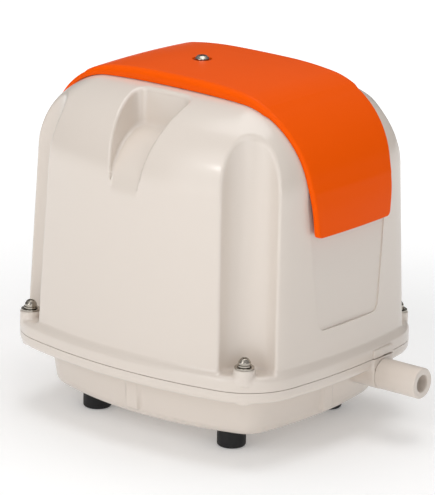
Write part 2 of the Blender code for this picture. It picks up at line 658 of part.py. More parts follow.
def make_magnet_drive(core_finish, bobbin_finish, coil_finish, holder_finish, magnet_finish):
    z = AXIS_Z
    for side, sign in (("front", -1), ("rear", 1)):
        def span(near, far):
            return sorted((sign * near, sign * far))
        y1, y2 = span(LEG_TIP_Y, CORE_BACK_Y)
        core = box("stator_core_" + side, (-CORE_HALF_X, y1, z - CORE_HALF_Z),
                   (CORE_HALF_X, y2, z + CORE_HALF_Z), core_finish)
        y1, y2 = span(LEG_TIP_Y - 2, CORE_BACK_Y - 9)
        for tag, x1, x2 in (("a", -25, -8), ("b", 8, 25)):
            cut(core, box("core_slot_%s_%s" % (side, tag), (x1, y1, z - 20), (x2, y2, z + 20)))
        y1, y2 = span(LEG_TIP_Y + 2.0, CORE_BACK_Y - 9.3)
        bobbin = box("coil_bobbin_" + side, (-24.4, y1, z - 29), (24.4, y2, z + 29), bobbin_finish)
        inner1, inner2 = span(LEG_TIP_Y + 3.4, CORE_BACK_Y - 10.7)
        groove = box("bobbin_groove_" + side, (-30, inner1, z - 34), (30, inner2, z + 34))
        cut(groove, box("bobbin_tube_" + side, (-9.5, inner1 - 2, z - 16.5), (9.5, inner2 + 2, z + 16.5)))
        cut(bobbin, groove)
        cut(bobbin, box("bobbin_hole_" + side, (-8.3, y1 - 2, z - 15.3), (8.3, y2 + 2, z + 15.3)))
        winding = box("coil_" + side, (-22.6, inner1 + GAP, z - 27), (22.6, inner2 - GAP, z + 27),
                      coil_finish, bevel=3.0)
        cut(winding, box("coil_window_" + side, (-9.8, inner1 - 2, z - 16.8), (9.8, inner2 + 2, z + 16.8)))
    holder = box("magnet_holder", (-31, -4.4, z - 15), (31, 4.4, z + 15), holder_finish, bevel=1.0)
    for side, x in (("left", -15.0), ("right", 15.0)):
        cut(holder, box("magnet_window_" + side, (x - 12.3, -8, z - 12.3), (x + 12.3, 8, z + 12.3)))
        box("magnet_" + side, (x - 12, -4.8, z - 12), (x + 12, 4.8, z + 12), magnet_finish, bevel=0.6)


def make_diaphragms(rubber_finish, plate_finish, steel_finish):
    z = AXIS_Z
    for side, sign in (("left", -1), ("right", 1)):
        aim = (sign, 0, 0)
        at = (sign * DIAPHRAGM_X[0], 0, z)
        rubber = [(34.0, 3.0), (34.0, 0.0), (25.0, 0.0), (23.4, -1.6), (20.8, -1.6), (18.5, 0.25),
                  (3.4, 0.25), (3.4, 2.75), (18.5, 2.75), (21.2, 0.6), (23.0, 0.6), (25.0, 3.0)]
        turned("diaphragm_" + side, rubber, at, rubber_finish, aim, 20, closed=True)
        turned("inner_plate_" + side, [(17.0, -0.1), (15.8, -2.4), (3.4, -2.4), (3.4, -0.1)],
               at, plate_finish, aim, 18, closed=True)
        turned("outer_plate_" + side, [(3.4, 5.3), (15.8, 5.3), (17.0, 3.1), (3.4, 3.1)],
               at, plate_finish, aim, 18, closed=True)
        stud = [(0.0, 11.0), (2.4, 11.0), (3.0, 10.4), (3.0, -3.0), (4.6, -3.0), (4.6, -17.9),
                (0.0, -17.9)]
        turned("drive_stud_" + side, stud, at, steel_finish, aim, 12)
        nut = cylinder("stud_nut_" + side, 5.8, (sign * 55.0, 0, z), (sign * 59.0, 0, z), steel_finish, 6)
        cut(nut, cylinder("nut_hole_" + side, 3.3, (sign * 53.0, 0, z), (sign * 61.0, 0, z), sides=12))


def make_heads(body_finish, flap_finish):
    z = AXIS_Z
    for side, sign in (("left", -1), ("right", 1)):
        def span(first, second):
            return sorted((sign * first, sign * second))
        x1, x2 = span(*HEAD_BODY_X)
        body = box("head_body_" + side, (x1, -HEAD_HALF_Y, z - HEAD_HALF_Z),
                   (x2, HEAD_HALF_Y, z + HEAD_HALF_Z), body_finish, bevel=1.5)
        cut(body, cylinder("head_chamber_" + side, 26.0, (sign * 50.0, 0, z), (sign * 64.5, 0, z), sides=24))
        for kind, height in (("intake", 16.0), ("exhaust", -16.0)):
            for column in (-5.0, 5.0):
                cut(body, cylinder("port_%s_%s_%d" % (kind, side, column), 2.6,
                                   (sign * 62.0, column, z + height), (sign * 70.0, column, z + height),
                                   sides=8))
        x1, x2 = span(*HEAD_COVER_X)
        cover = box("head_cover_" + side, (x1, -HEAD_HALF_Y, z - HEAD_HALF_Z),
                    (x2, HEAD_HALF_Y, z + HEAD_HALF_Z), body_finish, bevel=1.5)
        x1, x2 = span(HEAD_COVER_X[0] - 2.0, HEAD_COVER_X[1] - 2.4)
        for kind, low, high in (("intake", 2.0, 33.0), ("exhaust", -33.0, -2.0)):
            cut(cover, box("room_%s_%s" % (kind, side), (x1, -33, z + low), (x2, 33, z + high)))
        x1, x2 = span(HEAD_COVER_X[0] + 3.0, HEAD_COVER_X[1] - 4.0)
        for column in (-20.0, 0.0, 20.0):
            cut(cover, box("intake_mouth_%s_%d" % (side, column), (x1, column - 6, z + 28),
                           (x2, column + 6, z + 40)))
        join(cover, cylinder("cover_nipple_" + side, 5.0, (sign * HOSE_X, 0, z - 34.5),
                             (sign * HOSE_X, 0, 57.0), sides=12))
        cut(cover, cylinder("cover_bore_" + side, 3.0, (sign * HOSE_X, 0, z - 30.0),
                            (sign * HOSE_X, 0, 52.0), sides=10))
        x1, x2 = span(*EXHAUST_FLAP_X)
        box("exhaust_flap_" + side, (x1, -10, z - 22.5), (x2, 10, z - 9.0), flap_finish,
            pivot=(sign * EXHAUST_FLAP_X[0], 0, z - 9.0))
        x1, x2 = span(*INTAKE_FLAP_X)
        box("intake_flap_" + side, (x1, -9.5, z + 9.5), (x2, 9.5, z + 22.0), flap_finish,
            pivot=(sign * INTAKE_FLAP_X[1], 0, z + 22.0))


def make_terminal_block(finish):
    block = box("terminal_block", (-16, -8, FRAME_Z[1] + GAP), (16, 8, 71.0), finish, bevel=0.8)
    for column in (-10.0, 0.0, 10.0):
        cut(block, cylinder("terminal_well_%d" % column, 2.6, (column, 0, 65.0), (column, 0, 75.0), sides=8))


def main():
    clear_scene()
    PARTS.append(make_collection(OBJECT_NAME))
    CUTTERS.append(make_collection("cutters"))
    shell = material("housing_cream", (0.74, 0.68, 0.60), 0.32)
    orange = material("cover_orange", (0.85, 0.13, 0.01), 0.38)
    black_rubber = material("black_rubber", (0.02, 0.02, 0.02), 0.7)
    steel = material("bright_steel", (0.62, 0.60, 0.57), 0.28, 1.0)
    foam = material("filter_foam", (0.10, 0.10, 0.11), 0.95)
    plated = material("plated_frame", (0.55, 0.56, 0.55), 0.4, 1.0)
    laminated = material("core_steel", (0.28, 0.29, 0.32), 0.45, 1.0)
    nylon = material("white_nylon", (0.80, 0.80, 0.76), 0.5)
    copper = material("coil_tape", (0.55, 0.22, 0.04), 0.45)
    magnet = material("ferrite_magnet", (0.06, 0.06, 0.07), 0.6)
    black_plastic = material("black_plastic", (0.03, 0.03, 0.035), 0.45)
    alloy = material("cast_alloy", (0.60, 0.61, 0.62), 0.5, 1.0)
    make_upper_housing(shell)
    make_filter_cover(orange)
    make_base_housing(shell)
    make_flange_pieces(black_rubber, steel)
    x, y = COVER_SCREW_XY
    make_pan_screw("cover_screw", (x, y, 206.6), 1.6, 4.1, 2.8, 14.0, steel)
    turned("cover_washer", [(5.2, 0.6), (5.2, 0.0), (1.9, 0.0), (1.9, 0.6)], (x, y, 205.7), steel,
           closed=True, sides=14)
    make_feet(black_rubber)
    make_outlet(shell)
    make_gland(black_plastic)
    make_tank(alloy, black_rubber)
    make_filter(foam)
    make_frame(plated, black_rubber)
    make_magnet_drive(laminated, nylon, copper, black_plastic, magnet)
    make_diaphragms(black_rubber, alloy, steel)
    make_heads(alloy, black_rubber)
    make_terminal_block(black_plastic)


main()
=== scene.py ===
import math

import bmesh
import bpy
import numpy as np
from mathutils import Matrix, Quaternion, Vector


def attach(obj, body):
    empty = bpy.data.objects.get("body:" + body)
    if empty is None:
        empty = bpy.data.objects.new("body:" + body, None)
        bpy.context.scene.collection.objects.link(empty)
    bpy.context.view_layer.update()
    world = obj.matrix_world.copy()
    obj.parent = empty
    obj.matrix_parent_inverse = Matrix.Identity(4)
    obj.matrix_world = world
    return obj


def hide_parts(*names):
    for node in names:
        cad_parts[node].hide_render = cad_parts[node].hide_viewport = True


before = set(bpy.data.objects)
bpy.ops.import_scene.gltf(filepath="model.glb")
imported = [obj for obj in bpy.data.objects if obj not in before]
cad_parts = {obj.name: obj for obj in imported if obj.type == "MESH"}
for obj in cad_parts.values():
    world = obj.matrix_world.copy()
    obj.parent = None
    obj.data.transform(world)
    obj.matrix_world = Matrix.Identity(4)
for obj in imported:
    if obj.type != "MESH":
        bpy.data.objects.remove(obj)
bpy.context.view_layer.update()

MM = 0.001
SHIFT = Vector((-14.0, 0.0, 0.0))   # design millimetres to the row frame, before scaling

# Housing outline and wall, in millimetres from the middle of the feet
FLANGE = (100.0, 90.8, 10.6, 17.3, 37.0)     # half x, half y, bow x, bow y, corner radius
HOUSING_FOOT_Z = 46.05
PARTING_SPARE = 2.6          # how far each half's field runs past the plane where it is cut
FLANGE_TOP_Z = 54.6
WALL = 3.0
WALL_Z = 60.0
WALL_HALF = (97.5, 87.9)
WALL_DRAFT = (0.030, 0.036)
WALL_BOW_DRAFT = 0.010
WALL_CORNER_R = 35.0
SHOULDER_Z = 151.5
SHOULDER_R = 48.0
CORNER_CLOSING = 0.75
SCREW_XY = (78.8, 72.0)
BOSS_TOP_Z = 58.7
FLUTE_R = 17.0
FLUTE_FOOT = (83.0, 74.9, 57.0)
FLUTE_HEAD = (78.0, 70.0, 188.0)
GRIP_TOP_Z = 198.0
GRIP_DRAFT = 0.08
GRIP_BACK_Y = 48.2
GRIP_PLAN = (20.0, 45.0, 53.0)
GRIP_CORNER_R = 7.0
GRIP_FLOOR = (178.0, 0.35)
GRIP_RUNOUT_R = 20.0
PANEL_FOOT_Z = 72.9
PANEL_DEPTH = 0.7
POCKET_HALF = (58.0, 30.0)
POCKET_Z = 183.0
COVER_SCREW_XY = (-12.0, -2.0)
POST_TOP_Z = 201.9

# Base
BASE_TOP_Z = 45.7
SEAL_Z = (45.72, 46.02)
FLANGE_UNDER_Z = 38.6
TUB_BOTTOM_Z = 12.3
TUB_FLOOR_Z = 15.3
LEDGE_Z = 40.5
OUTLET_Y, OUTLET_Z = 29.8, 35.5
OUTLET_FACE_X, OUTLET_TIP_X = 100.4, 128.0
FOOT_XY = (50.0, 45.2)
GLAND = (-40.0, 86.0, 72.0)

# Filter cover
SKIRT_Z = 128.7
COVER_HALF_AT_0 = 19.7
COVER_FLARE = 0.11
COVER_WALL = 2.4
COVER_CROWN = 0.8
COVER_RISE = (3.2, 3.4)      # height over the shoulder, and the extra in the middle
COVER_RISE_X = (20.0, 70.8)  # where that extra is whole, and where it is gone


# ---------------------------------------------------------------- mesh helpers

def add_mesh(name, points, faces):
    mesh = bpy.data.meshes.new(name)
    placed = (np.asarray(points, float) + np.array(SHIFT)) * MM
    mesh.from_pydata(placed.tolist(), [], [tuple(face) for face in faces])
    mesh.validate()
    made = bpy.data.objects.new(name, mesh)
    bpy.context.scene.collection.objects.link(made)
    return made


def outward(made):
    bm = bmesh.new()
    bm.from_mesh(made.data)
    bmesh.ops.recalc_face_normals(bm, faces=bm.faces)
    bm.to_mesh(made.data)
    bm.free()
    return made


def smooth(made, angle=30.0):
    made.data.shade_smooth()
    made.data.set_sharp_from_angle(angle=math.radians(angle))
    return made


def apply_all(made):
    graph = bpy.context.evaluated_depsgraph_get()
    graph.update()
    mesh = bpy.data.meshes.new_from_object(made.evaluated_get(graph))
    made.modifiers.clear()
    old = made.data
    made.data = mesh
    bpy.data.meshes.remove(old)
    return made


def boolean(target, other, operation="DIFFERENCE", solver="MANIFOLD"):
    step = target.modifiers.new(operation, "BOOLEAN")
    step.operation = operation
    step.object = other
    step.solver = solver
    apply_all(target)
    bpy.data.objects.remove(other, do_unlink=True)
    return target


def loft(name, rings, cap=True):
    count = len(rings[0])
    points = [p for ring in rings for p in ring]
    faces = []
    for row in range(len(rings) - 1):
        for i in range(count):
            j = (i + 1) % count
            faces.append((row * count + i, row * count + j, (row + 1) * count + j,
                          (row + 1) * count + i))
    if cap:
        faces.append(tuple(range(count))[::-1])
        faces.append(tuple(range((len(rings) - 1) * count, len(rings) * count)))
    return outward(add_mesh(name, points, faces))


def box(name, low, high, bevel=0.0, segments=3):
    points = [(x, y, z) for z in (low[2], high[2])
              for x, y in ((low[0], low[1]), (high[0], low[1]), (high[0], high[1]), (low[0], high[1]))]
    faces = [(0, 3, 2, 1), (4, 5, 6, 7), (0, 1, 5, 4), (1, 2, 6, 5), (2, 3, 7, 6), (3, 0, 4, 7)]
    made = outward(add_mesh(name, points, faces))
    if bevel:
        edge = made.modifiers.new("edges", "BEVEL")
        edge.width = bevel * MM
        edge.segments = segments
        apply_all(made)
    return made


def rounded(profile, steps=6):
    """A closed (radius, height) profile whose corners (radius, height, fillet) are rounded."""
    result = []
    count = len(profile)
    for i, (r, h, fillet) in enumerate(profile):
        here = Vector((r, h))
        before = Vector(profile[i - 1][:2]) - here
        after = Vector(profile[(i + 1) % count][:2]) - here
        if not fillet or before.length < 1e-6 or after.length < 1e-6:
            result.append((r, h))
            continue
        a, b = before.normalized(), after.normalized()
        half = a.angle(b) / 2
        back = min(fillet / math.tan(half), before.length * 0.49, after.length * 0.49)
        radius = back * math.tan(half)
        centre = here + (a + b).normalized() * (radius / math.sin(half))
        start, end = here + a * back - centre, here + b * back - centre
        sweep = start.angle_signed(end)
        base = math.atan2(start.y, start.x)
        for k in range(steps + 1):
            turn = base - sweep * k / steps
            result.append((centre.x + radius * math.cos(turn), centre.y + radius * math.sin(turn)))
    return result


def lathe(name, profile, centre, direction=(0, 0, 1), sides=96, angle=30.0, steps=6):
    """A turned piece from a closed profile of (radius, height, fillet) corners."""
    turn = Vector((0, 0, 1)).rotation_difference(Vector(direction))
    outline = rounded(profile, steps)
    points, rows = [], []
    for r, h in outline:
        if r < 1e-6:
            rows.append([len(points)] * sides)
            points.append(tuple(turn @ Vector((0, 0, h)) + Vector(centre)))
            continue
        rows.append(list(range(len(points), len(points) + sides)))
        for i in range(sides):
            a = 2 * math.pi * i / sides
            points.append(tuple(turn @ Vector((r * math.cos(a), r * math.sin(a), h)) + Vector(centre)))
    faces = []
    count = len(rows)
    for k in range(count):
        lower, upper = rows[k], rows[(k + 1) % count]
        if lower[0] == lower[1] and upper[0] == upper[1]:
            continue
        for i in range(sides):
            j = (i + 1) % sides
            face = []
            for corner in (lower[i], lower[j], upper[j], upper[i]):
                if corner not in face:
                    face.append(corner)
            if len(face) > 2:
                faces.append(face)
    return smooth(outward(add_mesh(name, points, faces)), angle)


# ---------------------------------------------------------------- distance fields

def oval(x, y, half_x, half_y, bow_x, bow_y, corner):
    """Signed distance from a rounded outline whose sides are shallow arcs."""
    x, y = np.abs(x), np.abs(y)
    r1 = (half_x ** 2 + bow_y ** 2) / (2 * bow_y)
    r2 = (half_y ** 2 + bow_x ** 2) / (2 * bow_x)
    k1, k2 = half_y - r1, half_x - r2
    s1, s2 = r1 - corner, r2 - corner
    length = np.hypot(k1, k2)
    along = (s1 ** 2 - s2 ** 2 + length ** 2) / (2 * length)
    across = np.sqrt(np.maximum(s1 ** 2 - along ** 2, 0.0))
    ux, uy = k2 / length, -k1 / length
    cx = ux * along + uy * across
    cy = k1 + uy * along - ux * across
    vx, vy = x - cx, y - cy
    in_corner = ((cx - k2) * vy - cy * vx >= 0) & (vx * (cy - k1) - vy * cx >= 0)
    sides = np.maximum(np.hypot(x, y - k1) - r1, np.hypot(x - k2, y) - r2)
    return np.where(in_corner, np.hypot(vx, vy) - corner, sides)


def join_round(a, b, r):
    """Union of two fields with a fillet of radius r where they meet."""
    return np.maximum(r, np.minimum(a, b)) - np.hypot(np.maximum(r - a, 0), np.maximum(r - b, 0))


def meet_round(a, b, r):
    """Intersection of two fields with a rounded edge of radius r."""
    return np.minimum(-r, np.maximum(a, b)) + np.hypot(np.maximum(r + a, 0), np.maximum(r + b, 0))


def flange_params(inset):
    half_x, half_y, bow_x, bow_y, corner = FLANGE
    return half_x - inset, half_y - inset, bow_x, bow_y, corner - inset


def wall_params(z, inset=0.0):
    rise = np.minimum(z, SHOULDER_Z) - WALL_Z
    more = 0.8 + WALL_BOW_DRAFT * rise
    return (WALL_HALF[0] - WALL_DRAFT[0] * rise - inset, WALL_HALF[1] - WALL_DRAFT[1] * rise - inset,
            FLANGE[2] + more, FLANGE[3] + more, WALL_CORNER_R - inset)


def shoulder_params(drawn):
    half_x, half_y, bow_x, bow_y, corner = wall_params(SHOULDER_Z)
    return (half_x - drawn, half_y - drawn, bow_x * (1 - drawn / half_x), bow_y * (1 - drawn / half_y),
            np.maximum(corner - CORNER_CLOSING * drawn, 4.0))


def drawn_in(x, y):
    """How far inside the shoulder's outline a point lies, counted along the shoulder's rings."""
    drawn = -oval(x, y, *shoulder_params(0.0))
    for _ in range(6):
        drawn = np.clip(drawn, -30.0, 70.0)
        drawn = drawn - oval(x, y, *shoulder_params(drawn))
    return drawn


def wall_field(x, y, z):
    side = oval(x, y, *wall_params(z))
    away = np.maximum(SHOULDER_R - drawn_in(x, y), 0.0)
    top = np.hypot(away, z - SHOULDER_Z) - SHOULDER_R
    return np.where(z > SHOULDER_Z, top, side)


def flute_field(x, y, z):
    foot, head = Vector(FLUTE_FOOT), Vector(FLUTE_HEAD)
    axis = (head - foot).normalized()
    dx, dy, dz = np.abs(x) - foot.x, np.abs(y) - foot.y, z - foot.z
    along = dx * axis.x + dy * axis.y + dz * axis.z
    return np.sqrt((dx - along * axis.x) ** 2 + (dy - along * axis.y) ** 2
                   + (dz - along * axis.z) ** 2) - FLUTE_R


def grip_field(body, x, y, z):
    """Cuts the finger recesses into a body: upright walls, and a floor that runs out into the face."""
    half, middle, reach = GRIP_PLAN
    draft = GRIP_DRAFT * (GRIP_TOP_Z - z)
    y = np.abs(y)
    near = np.hypot(x / half, (y - middle) / reach)
    far = np.maximum(np.hypot(x / half ** 2, (y - middle) / reach ** 2), 1e-6)
    slot = meet_round(near * (near - 1.0) / far + draft, GRIP_BACK_Y + draft - y, GRIP_CORNER_R)
    height, fall = GRIP_FLOOR
    floor = (z - height + fall * (y - GRIP_BACK_Y)) / math.hypot(1.0, fall)
    low = meet_round(body, floor, GRIP_RUNOUT_R)
    depth = np.clip((low - body) * 0.6, 0.0, 2.2)
    return meet_round(body, join_round(-slot, low, depth), depth * 0.9)


def from_screws(x, y):
    """Distance from the nearest corner screw's axis."""
    return np.hypot(np.abs(x) - SCREW_XY[0], np.abs(y) - SCREW_XY[1])


def housing_field(x, y, z):
    body = grip_field(wall_field(x, y, z), x, y, z)
    body = meet_round(body, -flute_field(x, y, z), 1.8)
    flange = meet_round(oval(x, y, *FLANGE), z - FLANGE_TOP_Z, 3.6)
    flange = np.maximum(flange, HOUSING_FOOT_Z - PARTING_SPARE - z)
    solid = join_round(flange, np.maximum(body, 50.0 - z), 2.2)
    boss = np.maximum(meet_round(from_screws(x, y) - 6.2, z - BOSS_TOP_Z, 0.9), 50.0 - z)
    solid = join_round(solid, boss, 1.0)
    gland = meet_round(np.hypot(x - GLAND[0], z - GLAND[2]) - 11.0, y - GLAND[1], 1.0)
    return join_round(solid, np.maximum(gland, 60.0 - y), 2.0)


def base_field(x, y, z):
    flange = np.maximum(oval(x, y, *FLANGE), z - BASE_TOP_Z - PARTING_SPARE)
    flange = meet_round(flange, FLANGE_UNDER_Z - z, 4.4)
    inset = 16.2 + 0.133 * (37.8 - z)
    tub = oval(x, y, *flange_params(inset))
    tub = np.maximum(meet_round(tub, TUB_BOTTOM_Z - z, 6.0), z - 42.0)
    solid = join_round(flange, tub, 1.6)
    ribs = []
    for across, along, high in ((x, y, 74.8), (y, x, 84.2)):
        rib = meet_round(np.abs(across) - 4.6, np.abs(along) - high, 1.6)
        ribs.append(np.maximum(meet_round(rib, 17.0 - z, 1.6), z - 40.0))
    solid = join_round(solid, np.minimum(*ribs), 1.4)
    arch = np.where(z > OUTLET_Z, np.abs(y - OUTLET_Y), np.hypot(y - OUTLET_Y, z - OUTLET_Z)) - 9.3
    arch = np.maximum(meet_round(arch, x - OUTLET_FACE_X, 0.7),
                      np.maximum(70.0 - x, z - BASE_TOP_Z - PARTING_SPARE))
    solid = join_round(solid, arch, 1.5)
    boss = np.maximum(meet_round(from_screws(x, y) - 4.4, 37.9 - z, 1.2), z - 42.0)
    return join_round(solid, boss, 1.2)


def surface_nets(values, low, step):
    """Closed quad skin over the zero surface of a grid that is negative inside."""
    inside = values < 0
    shape = np.array(values.shape) - 1
    corners = [(i, j, k) for i in (0, 1) for j in (0, 1) for k in (0, 1)]
    count = np.zeros(shape, np.int8)
    for i, j, k in corners:
        count += inside[i:i + shape[0], j:j + shape[1], k:k + shape[2]]
    cells = np.argwhere((count > 0) & (count < 8))
    number = np.full(shape, -1, np.int64)
    number[tuple(cells.T)] = np.arange(len(cells))
    total, hits = np.zeros((len(cells), 3)), np.zeros(len(cells))
    for corner in corners:
        for axis in range(3):
            if corner[axis]:
                continue
            other = list(corner)
            other[axis] = 1
            fa, fb = values[tuple((cells + corner).T)], values[tuple((cells + other).T)]
            crossed = (fa < 0) != (fb < 0)
            point = np.tile(np.array(corner, float), (int(crossed.sum()), 1))
            point[:, axis] += fa[crossed] / (fa[crossed] - fb[crossed])
            total[crossed] += point
            hits[crossed] += 1
    points = low + (cells + total / hits[:, None]) * step
    quads = []
    for axis in range(3):
        u, v = np.eye(3, dtype=int)[(axis + 1) % 3], np.eye(3, dtype=int)[(axis + 2) % 3]
        first = np.take(inside, range(values.shape[axis] - 1), axis)
        second = np.take(inside, range(1, values.shape[axis]), axis)
        for edges, flip in ((first & ~second, False), (~first & second, True)):
            at = np.argwhere(edges)
            ring = np.stack([number[tuple((at - u - v).T)], number[tuple((at - v).T)],
                             number[tuple(at.T)], number[tuple((at - u).T)]], 1)
            quads.append(ring[:, ::-1] if flip else ring)
    return points, np.concatenate(quads)


def slope_of(field, points, reach=0.02):
    steps = np.eye(3) * reach
    return np.stack([(field(*(points + s).T) - field(*(points - s).T)) / (2 * reach) for s in steps], 1)


def settle(field, points, most):
    """Moves points onto the zero surface of a field."""
    value = field(*points.T)
    slope = slope_of(field, points)
    move = -slope * (value / np.maximum((slope ** 2).sum(1), 0.05))[:, None]
    size = np.linalg.norm(move, axis=1)
    return points + move * np.minimum(1.0, most / np.maximum(size, 1e-9))[:, None]


def skin(name, field, low, high, step, rounds=3):
    """Mesh of a field's zero surface, relaxed along the surface so that its quads are even."""
    axes = [np.arange(l, h + step, step) for l, h in zip(low, high)]
    grid = np.broadcast_to(field(axes[0][:, None, None], axes[1][None, :, None], axes[2][None, None, :]),
                           [len(a) for a in axes])
    points, quads = surface_nets(grid, np.array(low, float), step)
    pairs = np.concatenate([quads[:, [i, (i + 1) % 4]] for i in range(4)])
    pairs = np.concatenate([pairs, pairs[:, ::-1]])
    degree = np.bincount(pairs[:, 0], minlength=len(points))
    for turn in range(rounds):
        points = settle(field, points, step * 0.6)
        if turn < rounds - 1:
            mean = np.stack([np.bincount(pairs[:, 0], points[pairs[:, 1], c], len(points))
                             for c in range(3)], 1) / degree[:, None]
            points = points * 0.5 + mean * 0.5
    points = settle(field, points, step * 0.3)
    return add_mesh(name, points, quads.tolist())


def true_normals(made, field, angle=40.0):
    """Shades the vertices that lie on a field by its slope, and the rest by their faces."""
    smooth(made, angle)
    mesh = made.data
    count = len(mesh.vertices)
    where = np.empty(count * 3)
    mesh.vertices.foreach_get("co", where)
    points = where.reshape(-1, 3) / MM - np.array(SHIFT)
    on_field = np.abs(field(*points.T)) < 0.01
    slope = slope_of(field, points)
    slope /= np.maximum(np.linalg.norm(slope, axis=1), 1e-9)[:, None]
    corners = np.empty(len(mesh.loops), np.int64)
    mesh.loops.foreach_get("vertex_index", corners)
    natural = np.array([c.vector for c in mesh.corner_normals])
    face_of = np.repeat(np.arange(len(mesh.polygons)),
                        [p.loop_total for p in mesh.polygons])
    face_normal = np.array([p.normal for p in mesh.polygons])[face_of]
    use = on_field[corners] & ((slope[corners] * face_normal).sum(1) > 0.7)
    normals = np.where(use[:, None], slope[corners], natural)
    mesh.normals_split_custom_set(normals.tolist())
    return made


def crossing(field, low, high, halvings=40):
    """Where a function of one number turns from negative to positive."""
    for _ in range(halvings):
        middle = (low + high) / 2
        if field(middle) < 0:
            low = middle
        else:
            high = middle
    return low


def reach_x(y, params):
    """Positive x at which an outline crosses y."""
    return crossing(lambda x: oval(np.array(x), np.array(y), *params), 0.0, 130.0, 50)


def surface_z(x, y):
    """Height of the housing's shoulder over a point."""
    return crossing(lambda z: wall_field(np.array(x), np.array(y), np.array(z)), SHOULDER_Z, 201.0)


def outline_ring(params, z, count=240):
    """Points round an outline at a height, by angle from the middle."""
    ring = []
    for i in range(count):
        a = 2 * math.pi * i / count
        reach = crossing(lambda r: oval(r * math.cos(a), r * math.sin(a), *params), 0.0, 160.0)
        ring.append((reach * math.cos(a), reach * math.sin(a), z))
    return ring


def four_corners(x, y):
    return [("front_left", -x, -y), ("front_right", x, -y), ("rear_left", -x, y), ("rear_right", x, y)]


# ---------------------------------------------------------------- housing

def cover_half(z):
    return COVER_HALF_AT_0 + COVER_FLARE * z


def panel_cutter(sign):
    """Flat recess up the side, under and below the cover's skirt."""
    rings = []
    levels = [(PANEL_FOOT_Z + rise, extra) for rise, extra in
              ((0.0, -4.6), (0.3, -3.2), (1.1, -1.8), (2.5, -0.7), (4.6, -0.1))]
    levels += [(z, 0.0) for z in np.arange(80.0, 149.0, 4.0)]
    for z, extra in levels:
        half = cover_half(z) + extra + (0.6 if z > 80 else 0.0) * min((z - 80) / 30, 1)
        floor = reach_x(half, wall_params(z)) - PANEL_DEPTH
        rings.append([(sign * x, y, z) for x, y in
                      ((floor, -half), (108.0, -half - 1), (108.0, half + 1), (floor, half))])
    for angle in np.arange(3.0, 73.0, 3.0):
        z = SHOULDER_Z + SHOULDER_R * math.sin(math.radians(angle))
        drawn = SHOULDER_R * (1 - math.cos(math.radians(angle)))
        half = cover_half(z) - 3.4 * min(angle / 12.0, 1.0) + 0.6 * max(1 - angle / 12.0, 0.0)
        floor = reach_x(half, shoulder_params(drawn)) - PANEL_DEPTH
        rings.append([(sign * x, y, z) for x, y in
                      ((floor, -half), (108.0, -half - 1), (108.0, half + 1), (floor, half))])
    rings.append([(x, y, 206.0) for x, y, z in rings[-1]])
    return loft("panel_cutter", rings)


